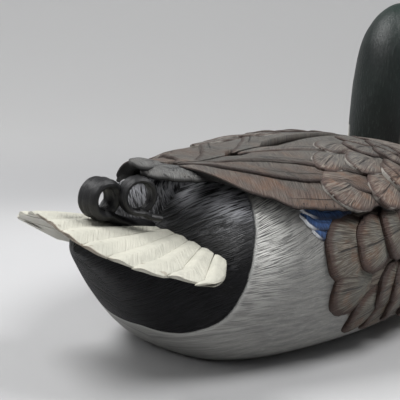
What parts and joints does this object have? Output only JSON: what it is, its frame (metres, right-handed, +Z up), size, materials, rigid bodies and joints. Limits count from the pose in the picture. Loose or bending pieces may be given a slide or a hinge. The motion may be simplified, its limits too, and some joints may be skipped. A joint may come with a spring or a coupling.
{
  "type": "floating duck decoy",
  "caption": "Hollow carved and painted drake duck decoy with fanned tail, curled rump feathers, folded wings, inlaid keel weight and a swinging line ring.",
  "frame": {"origin": "on the resting face, halfway between the tip of the bill and the tip of the tail", "axes": "-Y is the way the duck faces, +X is its left, +Z is up"},
  "size_m": [0.172, 0.43, 0.208],
  "materials": {
    "body_paint": "matte hand-painted wood",
    "head_paint": "satin dark green painted wood",
    "bill_paint": "satin olive-yellow painted wood",
    "tail_paint": "matte cream-white painted wood",
    "rump_paint": "matte black painted wood",
    "wing_paint": "matte grey-brown painted wood",
    "primary_paint": "matte dark grey painted wood",
    "eye_glass": "dark brown glass",
    "bare_wood": "bare hardwood",
    "lead": "dull grey metal",
    "brass": "satin brass"
  },
  "bodies": {
    "decoy": {"back_shell": "body_paint", "hull_shell": "body_paint", "head": "head_paint", "bill": "bill_paint", "left_eye": "eye_glass", "right_eye": "eye_glass", "left_wing": "wing_paint", "right_wing": "wing_paint", "left_primaries": "primary_paint", "right_primaries": "primary_paint", "tail_fan": "tail_paint", "front_curl": "rump_paint", "rear_curl": "rump_paint", "neck_dowel": "bare_wood", "body_dowel_front": "bare_wood", "body_dowel_rear": "bare_wood", "ballast_weight": "lead", "ballast_screw_1": "brass", "ballast_screw_2": "brass", "ballast_screw_3": "brass", "ballast_screw_4": "brass", "ring_strap": "brass", "strap_screw_1": "brass", "strap_screw_2": "brass"},
    "ring": {"line_ring": "brass"}
  },
  "joints": [
    {"name": "ring_swing", "type": "hinge", "parent": "decoy", "child": "ring", "pos_m": [0, -0.16541, 0.02738], "axis": [1, 0, 0], "range_deg": [-100, 25]}
  ]
}
